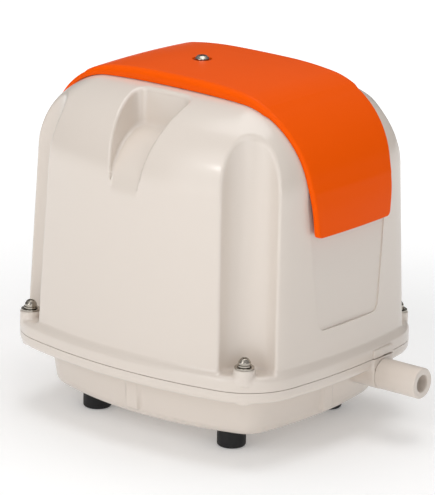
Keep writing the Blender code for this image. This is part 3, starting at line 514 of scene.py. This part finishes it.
def make_upper_housing():
    made = skin("upper_housing_shell", housing_field, (-103, -94, 41.0), (103, 94, 203), 1.4)
    boolean(made, box("foot_cut", (-120, -120, 30), (120, 120, HOUSING_FOOT_Z)))
    low = [outline_ring(wall_params(60.0, WALL + 0.5), z, 120) for z in (40.0, 60.0)]
    rings = low + [outline_ring(wall_params(z, WALL), z, 120) for z in (100.0, SHOULDER_Z)]
    radius = SHOULDER_R - WALL
    for angle in np.arange(8.0, 89.0, 8.0):
        drawn = radius * (1 - math.cos(math.radians(angle)))
        half_x, half_y, bow_x, bow_y, corner = shoulder_params(drawn)
        rings.append(outline_ring((half_x - WALL, half_y - WALL, bow_x, bow_y, corner),
                                  SHOULDER_Z + radius * math.sin(math.radians(angle)), 120))
    cavity = loft("cavity", rings)
    for name, x, y in four_corners(1, 1):
        ends = []
        for z in (30.0, 212.0):
            share = (z - FLUTE_FOOT[2]) / (FLUTE_HEAD[2] - FLUTE_FOOT[2])
            cx = FLUTE_FOOT[0] + (FLUTE_HEAD[0] - FLUTE_FOOT[0]) * share
            cy = FLUTE_FOOT[1] + (FLUTE_HEAD[1] - FLUTE_FOOT[1]) * share
            ends.append([(x * (cx + (FLUTE_R + WALL) * math.cos(2 * math.pi * i / 64)),
                          y * (cy + (FLUTE_R + WALL) * math.sin(2 * math.pi * i / 64)), z)
                         for i in range(64)])
        boolean(cavity, loft("flute_wall", ends))
    for sign in (-1, 1):
        rings = []
        for y, floor, half in ((45.4, 174.0, 21.0), (68.0, 166.5, 18.5), (78.0, 160.0, 15.0),
                               (84.0, 150.0, 12.5), (100.0, 150.0, 12.5)):
            rings.append([(-half, sign * y, floor), (half, sign * y, floor), (half + 2, sign * y, 208.0),
                          (-half - 2, sign * y, 208.0)])
        boolean(cavity, loft("grip_wall", rings))
        boolean(cavity, box("panel_wall", (min(sign * 88.6, sign * 110), -40, 60),
                            (max(sign * 88.6, sign * 110), 40, 160)))
    px, py = POCKET_HALF
    boolean(cavity, box("pocket_wall", (-px - WALL, -py - WALL, POCKET_Z - WALL),
                        (px + WALL, py + WALL, 210)))
    boolean(made, cavity)
    for sign in (-1, 1):
        boolean(made, panel_cutter(sign))
    boolean(made, box("pocket", (-px, -py, POCKET_Z), (px, py, 210), 2.0))
    x, y = COVER_SCREW_XY
    post = lathe("post", [(0, POST_TOP_Z, 0), (5.0, POST_TOP_Z, 0.6), (5.0, POCKET_Z - 1.5, 0),
                          (0, POCKET_Z - 1.5, 0)], (x, y, 0), sides=64)
    boolean(made, post, "UNION")
    boolean(made, lathe("post_hole", [(0, 210, 0), (1.9, 210, 0), (1.9, 189, 0), (0, 189, 0)], (x, y, 0),
                        sides=32))
    for column in (-42.0, -28.0, 14.0, 28.0, 42.0):
        boolean(made, box("slot", (column - 2.5, -22, POCKET_Z - 6), (column + 2.5, 22, POCKET_Z + 4), 2.2))
    for name, x, y in four_corners(*SCREW_XY):
        boolean(made, lathe("screw_way", [(0, 70, 0), (2.4, 70, 0), (2.4, 40, 0), (0, 40, 0)], (x, y, 0),
                            sides=32))
    boolean(made, box("pad", (90.0, 20.5, HOUSING_FOOT_Z), (OUTLET_FACE_X, 39.0, 51.0), 0.5), "UNION")
    boolean(made, box("slot", (96.0, 29.0, 45.0), (102.0, 37.0, HOUSING_FOOT_Z + 0.7)))
    boolean(made, lathe("gland_hole", [(0, 10, 0), (6.3, 10, 0), (6.3, -14, 0), (0, -14, 0)], GLAND,
                        (0, 1, 0), sides=48))
    return true_normals(made, housing_field)


def make_base_housing():
    made = skin("base_housing_shell", base_field, (-103, -94, 9.0), (104, 94, 51), 1.3)
    boolean(made, box("top_cut", (-120, -120, BASE_TOP_Z), (120, 120, 60)))
    rings = []
    for inset, z in ((24.5, TUB_FLOOR_Z), (22.7, 17.0), (21.9, 20.0), (19.5, LEDGE_Z + 1.0)):
        rings.append(outline_ring(flange_params(inset), z, 160))
    boolean(made, loft("tank", rings))
    boolean(made, loft("lid_space", [outline_ring(flange_params(14.0), z, 160) for z in (LEDGE_Z, 50.0)]))
    at = (0, OUTLET_Y, OUTLET_Z)
    boolean(made, lathe("spigot_way", [(0, 104, 0), (7.3, 104, 0), (7.3, 86, 0), (0, 86, 0)], at, (1, 0, 0)))
    boolean(made, lathe("outlet_way", [(0, 88, 0), (4.8, 88, 0), (4.8, 60, 0), (0, 60, 0)], at, (1, 0, 0)))
    for name, x, y in four_corners(*SCREW_XY):
        boolean(made, lathe("screw_hole", [(0, 50, 0), (2.3, 50, 0), (2.3, 39.4, 0), (0, 39.4, 0)],
                            (x, y, 0), sides=32))
    for name, x, y in four_corners(*FOOT_XY):
        boolean(made, lathe("foot_hole", [(0, 20, 0), (3.8, 20, 0), (3.8, 8, 0), (0, 8, 0)], (x, y, 0),
                            sides=32))
    return true_normals(made, base_field)


# ---------------------------------------------------------------- filter cover

def cover_stations():
    right = []
    for z in (SKIRT_Z, SKIRT_Z + 0.35, SKIRT_Z + 1.0, SKIRT_Z + 2.0, 132.0, 134.0, 136.0, 138.0, 140.0,
              142.5, 145.0, 147.5, SHOULDER_Z):
        gap = 2.3 + 0.2 * min((z - SKIRT_Z) / 9.3, 1.0) - 0.7 * max((z - 140.0) / 9.5, 0.0) ** 2
        half = cover_half(z)
        tuck = {SKIRT_Z: 2.0, SKIRT_Z + 0.35: 1.1, SKIRT_Z + 1.0: 0.45, SKIRT_Z + 2.0: 0.1}.get(z, 0.0)
        right.append((reach_x(half, wall_params(z)) + gap, z, 0.0, 3.0, 0.2, half - tuck))
    knots = (0.0, 12.0, 24.0, 36.0, 48.0, 60.0)
    heights = (3.0, 2.9, 2.8, 2.8, 2.9, COVER_RISE[0])
    for angle in np.arange(2.0, 60.1, 2.0):
        lean = math.radians(angle)
        z = SHOULDER_Z + SHOULDER_R * math.sin(lean)
        drawn = SHOULDER_R * (1 - math.cos(lean))
        half = cover_half(z)
        foot = reach_x(half, shoulder_params(drawn))
        lift = max(reach_x(half - COVER_WALL, shoulder_params(drawn)) - foot, 0.0) * math.cos(lean)
        gap = 0.4 + 1.4 * max(1 - angle / 12.0, 0.0) ** 2
        right.append((foot + gap * math.cos(lean), z + gap * math.sin(lean), angle,
                      float(np.interp(angle, knots, heights)), lift, half))
    edge = right[-1][0]
    for share in np.linspace(0.04, 0.985, 50):
        x = edge * (1 - share)
        half = cover_half(200.0)
        z = surface_z(x, half) + 0.4
        slope = (surface_z(x - 0.5, half) - surface_z(x + 0.5, half))
        angle = math.degrees(math.atan2(1.0, slope))
        run = max(x - COVER_RISE_X[0], 0.0) / (COVER_RISE_X[1] - COVER_RISE_X[0])
        height = COVER_RISE[0] + COVER_RISE[1] * (1 - min(run, 1.0) ** 2)
        right.append((x, z, angle, height, 0.0, half))
    left = [(-x, z, 180.0 - angle, height, lift, half) for x, z, angle, height, lift, half in right]
    return left + right[::-1]


def cover_section(x, z, angle_deg, height, lift, half):
    out = Vector((math.cos(math.radians(angle_deg)), 0.0, math.sin(math.radians(angle_deg))))
    foot = Vector((x, 0.0, z))
    bend = min(3.8, height * 0.66)
    wall = min(COVER_WALL, height - 0.9)

    def skin_line(inward, first_rise):
        radius = max(bend - inward, 0.5)
        centre = (half - inward - radius, height - inward - radius)
        points = [(half - inward, first_rise), (half - inward, (first_rise + centre[1]) / 2)]
        for k in range(9):
            a = math.radians(90.0 * k / 8)
            points.append((centre[0] + radius * math.cos(a), centre[1] + radius * math.sin(a)))
        edge, level = points[-1]
        for k in range(1, 37):
            share = k / 36
            points.append((edge * (1 - share), level + COVER_CROWN * (1 - (1 - share) ** 2)))
        return [(y, max(n, first_rise + 0.02 * i)) for i, (y, n) in enumerate(points)]
    outer = skin_line(0.0, 0.0)
    inner = skin_line(wall, lift)
    loop = outer + [(-y, n) for y, n in outer[-2::-1]]
    loop += [(-y, n) for y, n in inner] + inner[-2::-1]
    return [tuple(foot + out * n + Vector((0.0, y, 0.0))) for y, n in loop]


def make_filter_cover():
    made = loft("filter_cover_shell", [cover_section(*station) for station in cover_stations()])
    x, y = COVER_SCREW_XY
    boss = lathe("boss", [(0, 206.0, 0), (8.5, 206.0, 0), (8.5, POST_TOP_Z + 0.3, 0.6),
                          (0, POST_TOP_Z + 0.3, 0)], (x, y, 0))
    boolean(made, boss, "UNION", "EXACT")
    dimple = [(0, 212, 0), (6.6, 212, 0), (6.6, 208.0, 0), (5.8, 207.0, 0.8), (5.4, 205.4, 0.5),
              (0, 205.4, 0)]
    boolean(made, lathe("dimple", dimple, (x, y, 0)), "DIFFERENCE", "EXACT")
    boolean(made, lathe("hole", [(0, 215, 0), (2.5, 215, 0), (2.5, 195, 0), (0, 195, 0)], (x, y, 0)),
            "DIFFERENCE", "EXACT")
    return smooth(made, 35.0)


# ---------------------------------------------------------------- fittings

def make_screw(name, at, radius, rise, length, shank):
    """Pan head with a cross recess, over a shank with a thread."""
    head = [(0, rise, 0), (radius * 0.62, rise - 0.12, 1.2), (radius, rise * 0.42, 0.9), (radius, 0, 0.2),
            (shank, 0, 0)]
    thread = []
    z = -1.0
    while z > -length + 1.5:
        thread += [(shank, z, 0), (shank - 0.3, z - 0.35, 0)]
        z -= 0.7
    tip = [(shank * 0.6, -length, 0), (0, -length, 0)]
    made = lathe(name, head + thread + tip, at, sides=64, angle=35.0)
    x, y, z = at
    for wide, deep in ((radius * 0.58, 0.42), (0.42, radius * 0.58)):
        top = [(-wide, -deep), (wide, -deep), (wide, deep), (-wide, deep)]
        rings = [[(x + u * k, y + v * k, z + h) for u, v in top] for k, h in
                 ((0.35, rise - 2.0), (1.0, rise - 0.25), (1.05, rise + 1.0))]
        boolean(made, loft("recess", rings), "DIFFERENCE", "EXACT")
    return smooth(made, 32.0)


def make_spring_washer(name, at, inner, outer, thick):
    rings = []
    for i in range(61):
        a = math.radians(8.0 + 344.0 * i / 60)
        lift = thick * 0.35 * i / 60
        rings.append([(at[0] + r * math.cos(a), at[1] + r * math.sin(a), at[2] + h + lift)
                      for r, h in ((inner, 0), (outer, 0), (outer, thick), (inner, thick))])
    return smooth(loft(name, rings), 32.0)


def make_washer(name, at, inner, outer, thick):
    return lathe(name, [(inner, thick, 0.1), (inner, 0, 0.1), (outer, 0, 0.15), (outer, thick, 0.2)], at,
                 sides=80)


def make_foot(name, x, y):
    profile = [(0, 18.2, 0), (5.0, 17.4, 0.6), (5.0, 15.6, 0.4), (3.4, 15.6, 0), (3.4, 12.0, 0),
               (8.3, 12.0, 0.5), (8.3, 0, 1.4), (3.2, 0, 0.4), (3.2, 1.6, 0.2), (0, 1.6, 0)]
    return lathe(name, profile, (x, y, 0), sides=80)


def make_outlet():
    tip = OUTLET_TIP_X - OUTLET_FACE_X
    profile = [(5.0, tip, 0.7), (9.0, tip, 0.9), (9.0, 0.3, 0.2), (7.0, 0.3, 0), (7.0, -14, 0),
               (5.0, -14, 0)]
    return lathe("outlet_tube", profile, (OUTLET_FACE_X, OUTLET_Y, OUTLET_Z), (1, 0, 0), sides=96)


def make_gland():
    profile = [(3.2, 4.8, 0.5), (5.8, 4.8, 0.5), (6.6, 4.0, 0.4), (6.6, 2.9, 0.2), (9.0, 2.4, 0.6),
               (9.0, 0.3, 0.2), (6.0, 0.3, 0), (6.0, -8.2, 0), (7.6, -8.8, 0.3), (6.0, -10.8, 0.2),
               (3.2, -10.8, 0.2)]
    return lathe("gland_body", profile, GLAND, (0, 1, 0), sides=80)


def make_seal():
    outer = flange_params(2.2)
    inner = (86.5, 77.3, FLANGE[2], FLANGE[3], 30.0)
    outer_rings = [outline_ring(outer, z, 240) for z in SEAL_Z]
    inner_rings = [outline_ring(inner, z, 240) for z in reversed(SEAL_Z)]
    rings = outer_rings + inner_rings
    points = [p for ring in rings for p in ring]
    faces = []
    for row in range(4):
        for i in range(240):
            j = (i + 1) % 240
            below, above = row * 240, ((row + 1) % 4) * 240
            faces.append((below + i, below + j, above + j, above + i))
    return smooth(outward(add_mesh("seal_strip", points, faces)))


def make_filter_pad():
    hx, hy = POCKET_HALF
    made = box("filter_pad", (-hx + 1, -hy + 1, POCKET_Z + 0.3), (hx - 1, hy - 1, 196.5), 3.0, 4)
    x, y = COVER_SCREW_XY
    boolean(made, lathe("pad_hole", [(0, 205, 0), (5.8, 205, 0), (5.8, 178, 0), (0, 178, 0)], (x, y, 0)),
            "DIFFERENCE", "EXACT")
    return smooth(made, 35.0)


# ---------------------------------------------------------------- materials

def new_material(name):
    made = bpy.data.materials.new(name)
    made.use_nodes = True
    tree = made.node_tree
    return made, tree.nodes, tree.links, tree.nodes["Principled BSDF"]


def texture(nodes, links, kind, scale, **settings):
    """A texture over object space, with scale counted per metre."""
    where = nodes.get("where") or nodes.new("ShaderNodeTexCoord")
    where.name = "where"
    tex = nodes.new(kind)
    links.new(where.outputs["Object"], tex.inputs["Vector"])
    tex.inputs["Scale"].default_value = scale
    for key, value in settings.items():
        tex.inputs[key].default_value = value
    return tex


def ramp(nodes, links, source, low, high, at=(0.0, 1.0)):
    """Colour or value run between two ends."""
    made = nodes.new("ShaderNodeValToRGB")
    for element, place, value in zip(made.color_ramp.elements, at, (low, high)):
        element.position = place
        element.color = (*value, 1.0) if isinstance(value, tuple) else (value, value, value, 1.0)
    links.new(source, made.inputs["Fac"])
    return made.outputs["Color"]


def inner_range(nodes, links, source):
    """A noise value drawn in from both ends, so that it never runs past a colour ramp."""
    made = nodes.new("ShaderNodeMath")
    made.operation = "MULTIPLY_ADD"
    made.inputs[1].default_value = 0.8
    made.inputs[2].default_value = 0.1
    links.new(source, made.inputs[0])
    return made.outputs["Value"]


def bump(nodes, links, height, strength, distance, under=None):
    made = nodes.new("ShaderNodeBump")
    made.inputs["Strength"].default_value = strength
    made.inputs["Distance"].default_value = distance
    links.new(height, made.inputs["Height"])
    if under:
        links.new(under, made.inputs["Normal"])
    return made.outputs["Normal"]


def surface(name, dark, light, rough, fine, relief, coat=0.0, metallic=0.0, patch=25.0, specular=0.5,
            relief_mm=0.05, coat_rough=0.05):
    """Material with patchy tone, uneven gloss and a fine relief."""
    made, nodes, links, shader = new_material(name)
    broad = texture(nodes, links, "ShaderNodeTexNoise", patch, Detail=2.0, Roughness=0.5)
    links.new(ramp(nodes, links, inner_range(nodes, links, broad.outputs["Fac"]), dark, light),
              shader.inputs["Base Color"])
    gloss = texture(nodes, links, "ShaderNodeTexNoise", patch * 5, Detail=2.0, Roughness=0.5)
    links.new(ramp(nodes, links, inner_range(nodes, links, gloss.outputs["Fac"]), rough[0], rough[1]),
              shader.inputs["Roughness"])
    grain = texture(nodes, links, "ShaderNodeTexNoise", fine, Detail=3.0, Roughness=0.5)
    links.new(bump(nodes, links, grain.outputs["Fac"], relief, relief_mm * MM), shader.inputs["Normal"])
    shader.inputs["Metallic"].default_value = metallic
    shader.inputs["Coat Weight"].default_value = coat
    shader.inputs["Coat Roughness"].default_value = coat_rough
    shader.inputs["Specular IOR Level"].default_value = specular
    return made


def foam_material():
    made, nodes, links, shader = new_material("filter_foam")
    cells = texture(nodes, links, "ShaderNodeTexVoronoi", 700.0)
    links.new(ramp(nodes, links, cells.outputs["Distance"], (0.02, 0.02, 0.022), (0.14, 0.14, 0.15)),
              shader.inputs["Base Color"])
    links.new(bump(nodes, links, cells.outputs["Distance"], 1.0, 0.0012), shader.inputs["Normal"])
    shader.inputs["Roughness"].default_value = 0.95
    return made


def laminated_material():
    made, nodes, links, shader = new_material("core_laminations")
    bands = texture(nodes, links, "ShaderNodeTexWave", 320.0, Distortion=0.4)
    bands.bands_direction = "Z"
    links.new(ramp(nodes, links, bands.outputs["Fac"], (0.10, 0.10, 0.12), (0.36, 0.37, 0.40)),
              shader.inputs["Base Color"])
    links.new(bump(nodes, links, bands.outputs["Fac"], 0.6, 0.0003), shader.inputs["Normal"])
    shader.inputs["Metallic"].default_value = 1.0
    shader.inputs["Roughness"].default_value = 0.45
    return made


def winding_material():
    made, nodes, links, shader = new_material("coil_winding")
    turns = texture(nodes, links, "ShaderNodeTexWave", 520.0, Distortion=0.3)
    turns.bands_direction = "Y"
    links.new(ramp(nodes, links, turns.outputs["Fac"], (0.30, 0.10, 0.02), (0.72, 0.32, 0.09)),
              shader.inputs["Base Color"])
    links.new(bump(nodes, links, turns.outputs["Fac"], 0.8, 0.0004), shader.inputs["Normal"])
    shader.inputs["Metallic"].default_value = 0.7
    shader.inputs["Roughness"].default_value = 0.38
    return made


def set_material(made, finish):
    made.data.materials.clear()
    made.data.materials.append(finish)
    return made


def fit_piece(made, finish, body, slot, *nodes):
    """Gives a piece its material and its body, and hides the CAD nodes it stands for. The slot is not used.
    """
    set_material(made, finish)
    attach(made, body)
    if nodes:
        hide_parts(*nodes)
    return made


# ---------------------------------------------------------------- building it

cream = surface("housing_enamel", (0.725, 0.648, 0.578), (0.748, 0.672, 0.602), (0.26, 0.31), 700.0, 0.25,
                coat=0.45, patch=9.0, relief_mm=0.02, coat_rough=0.15)
orange = surface("cover_orange", (0.925, 0.099, 0.001), (0.955, 0.109, 0.002), (0.26, 0.34), 1100.0, 0.25,
                 patch=12.0, relief_mm=0.02, specular=0.04)
rubber = surface("black_rubber", (0.006, 0.006, 0.007), (0.015, 0.015, 0.016), (0.45, 0.65), 1500.0, 0.4,
                 patch=60.0, specular=0.35)
# Steel colour is darkened and warmed brown: painted reflection of dark, warm surroundings. The patchy tone
# between the two ends is the metal's own.
steel = surface("bright_steel", (0.32, 0.29, 0.25), (0.56, 0.52, 0.46), (0.16, 0.30), 2500.0, 0.2,
                metallic=1.0, patch=300.0, relief_mm=0.02)
alloy = surface("cast_alloy", (0.42, 0.43, 0.44), (0.60, 0.61, 0.62), (0.42, 0.60), 900.0, 0.6,
                metallic=1.0, patch=50.0, relief_mm=0.12)
plated = surface("plated_sheet", (0.50, 0.52, 0.50), (0.66, 0.66, 0.60), (0.28, 0.42), 1200.0, 0.2,
                 metallic=1.0, patch=40.0, relief_mm=0.03)
nylon = surface("white_nylon", (0.66, 0.65, 0.60), (0.74, 0.73, 0.69), (0.42, 0.52), 1400.0, 0.2, patch=40.0)
magnet = surface("ferrite", (0.035, 0.035, 0.04), (0.085, 0.085, 0.09), (0.45, 0.65), 2200.0, 0.5,
                 patch=120.0)
black = surface("black_plastic", (0.016, 0.016, 0.018), (0.030, 0.030, 0.033), (0.32, 0.46), 1300.0, 0.3,
                patch=50.0)

fit_piece(make_upper_housing(), cream, "housing", "shell", "upper_housing")
fit_piece(make_base_housing(), cream, "housing", "shell", "base_housing")
fit_piece(make_outlet(), cream, "housing", "shell", "outlet_pipe")
fit_piece(make_filter_cover(), orange, "cover", "orange", "filter_cover")
fit_piece(make_seal(), rubber, "housing", "rubber", "housing_seal")
fit_piece(make_gland(), black, "housing", "black_plastic", "cord_gland")
fit_piece(make_filter_pad(), foam_material(), "filter", "foam", "filter_element")
for tag, x, y in four_corners(*FOOT_XY):
    fit_piece(make_foot("foot_" + tag, x, y), rubber, "housing", "rubber", "rubber_foot_" + tag)
for tag, x, y in four_corners(*SCREW_XY):
    fit_piece(make_washer("flat_washer_" + tag, (x, y, BOSS_TOP_Z + 0.05), 2.3, 5.6, 1.0), steel, "housing",
              "steel", "corner_washer_" + tag)
    fit_piece(make_spring_washer("spring_washer_" + tag, (x, y, BOSS_TOP_Z + 1.1), 2.2, 4.1, 0.9), steel,
              "housing", "steel")
    fit_piece(make_screw("pan_screw_" + tag, (x, y, BOSS_TOP_Z + 2.3), 3.5, 3.7, 21.0, 2.0), steel,
              "housing", "steel", "corner_screw_" + tag)
x, y = COVER_SCREW_XY
fit_piece(make_washer("cover_flat_washer", (x, y, 205.5), 1.9, 5.0, 0.6), steel, "cover", "steel",
          "cover_washer")
fit_piece(make_screw("cover_pan_screw", (x, y, 206.2), 4.1, 2.9, 14.0, 1.6), steel, "cover_screw", "steel",
          "cover_screw")

INNER = {
    "tank_lid": alloy, "tank_gasket": rubber, "pump_frame": plated, "magnet_holder": black,
    "terminal_block": black, "air_hose": rubber, "vibration_mount": rubber,
    "stator_core": laminated_material(),
    "coil_bobbin": nylon, "coil_front": winding_material(), "magnet_left": magnet, "magnet_right": magnet,
    "drive_stud": steel, "inner_plate": alloy, "outer_plate": alloy, "stud_nut": steel, "diaphragm": rubber,
    "head_body": alloy, "head_cover": alloy, "intake_flap": rubber, "exhaust_flap": rubber,
}
INNER["coil_rear"] = INNER["coil_front"]
for name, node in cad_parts.items():
    for start, finish in INNER.items():
        if name.startswith(start) and not node.hide_render:
            set_material(node, finish)
            break


# ---------------------------------------------------------------- stage, light and camera

def glowing_stage_material():
    made, nodes, links, shader = new_material("stage_white")
    tone = texture(nodes, links, "ShaderNodeTexNoise", 3.0)
    links.new(ramp(nodes, links, tone.outputs["Fac"], (0.90, 0.90, 0.90), (0.93, 0.93, 0.93)),
              shader.inputs["Base Color"])
    shader.inputs["Roughness"].default_value = 0.8
    shader.inputs["Specular IOR Level"].default_value = 0.0
    # The floor glows: painted light that brightens the floor and lights the object from below. The glow is
    # weaker near the object, so the floor round it stays darker.
    shader.inputs["Emission Color"].default_value = (1.0, 1.0, 1.0, 1.0)
    away = nodes.new("ShaderNodeVectorMath")
    away.operation = "LENGTH"
    links.new(nodes["where"].outputs["Object"], away.inputs[0])
    links.new(ramp(nodes, links, away.outputs["Value"], 0.18, 0.55, (0.22, 0.7)),
              shader.inputs["Emission Strength"])
    return made


def make_stage():
    floor_mesh = bpy.data.meshes.new("floor")
    half = 6.0
    floor_mesh.from_pydata([(-half, -half, -0.0002), (half, -half, -0.0002), (half, half, -0.0002),
                            (-half, half, -0.0002)], [], [(0, 1, 2, 3)])
    floor = bpy.data.objects.new("floor", floor_mesh)
    bpy.context.scene.collection.objects.link(floor)
    floor.data.materials.append(glowing_stage_material())


def area_light(name, azimuth, distance, low, high, width, power):
    """An upright softbox round the object, by the side it stands on (0 is the front)."""
    light = bpy.data.lights.new(name, "AREA")
    light.shape = "RECTANGLE"
    light.size, light.size_y = width, high - low
    light.energy = power
    made = bpy.data.objects.new(name, light)
    bpy.context.scene.collection.objects.link(made)
    turn = math.radians(azimuth)
    made.location = (distance * math.sin(turn) + SHIFT.x * MM, -distance * math.cos(turn), (low + high) / 2)
    made.rotation_euler = (math.radians(90.0), 0.0, turn)
    made.visible_camera = False
    return made


def make_lights():
    world = bpy.data.worlds.new("studio")
    bpy.context.scene.world = world
    world.use_nodes = True
    nodes, links = world.node_tree.nodes, world.node_tree.links
    back = nodes["Background"]
    back.inputs["Strength"].default_value = 1.0
    where = nodes.new("ShaderNodeTexCoord")
    split = nodes.new("ShaderNodeSeparateXYZ")
    links.new(where.outputs["Generated"], split.inputs["Vector"])
    links.new(ramp(nodes, links, split.outputs["Z"], 0.04, 0.40, (0.05, 0.6)), back.inputs["Color"])
    area_light("front_softbox", -3.0, 1.3, 0.02, 1.52, 0.86, 5.8)
    area_light("side_softbox", 50.0, 1.4, 0.02, 1.22, 0.62, 3.5)
    area_light("spot_head", -8.0, 1.3, 0.75, 0.85, 0.05, 0.9)
    above = area_light("overhead", 180.0, 0.1, 1.0, 2.2, 1.2, 10.5)
    above.rotation_euler = (0.0, 0.0, 0.0)


def make_camera():
    """Camera at the photograph's angle, rolled a little."""
    azimuth, elevation, roll = math.radians(38.34), math.radians(16.60), math.radians(1.37)
    back = Vector((math.sin(azimuth) * math.cos(elevation), -math.cos(azimuth) * math.cos(elevation),
                   math.sin(elevation)))
    data = bpy.data.cameras.new("camera")
    data.sensor_width = 36.0
    data.lens = 259.15
    data.clip_start, data.clip_end = 0.05, 50.0
    made = bpy.data.objects.new("camera", data)
    bpy.context.scene.collection.objects.link(made)
    made.rotation_mode = "QUATERNION"
    turn = (-back).to_track_quat("-Z", "Y")
    made.rotation_quaternion = turn @ Quaternion((0.0, 0.0, 1.0), roll)
    made.location = (Vector((1.1, -0.3, 96.8)) + SHIFT) * MM + back * 2.0574
    bpy.context.scene.camera = made


make_stage()
make_lights()
make_camera()
bpy.context.scene.view_settings.view_transform = "Standard"
bpy.context.scene.view_settings.look = "None"
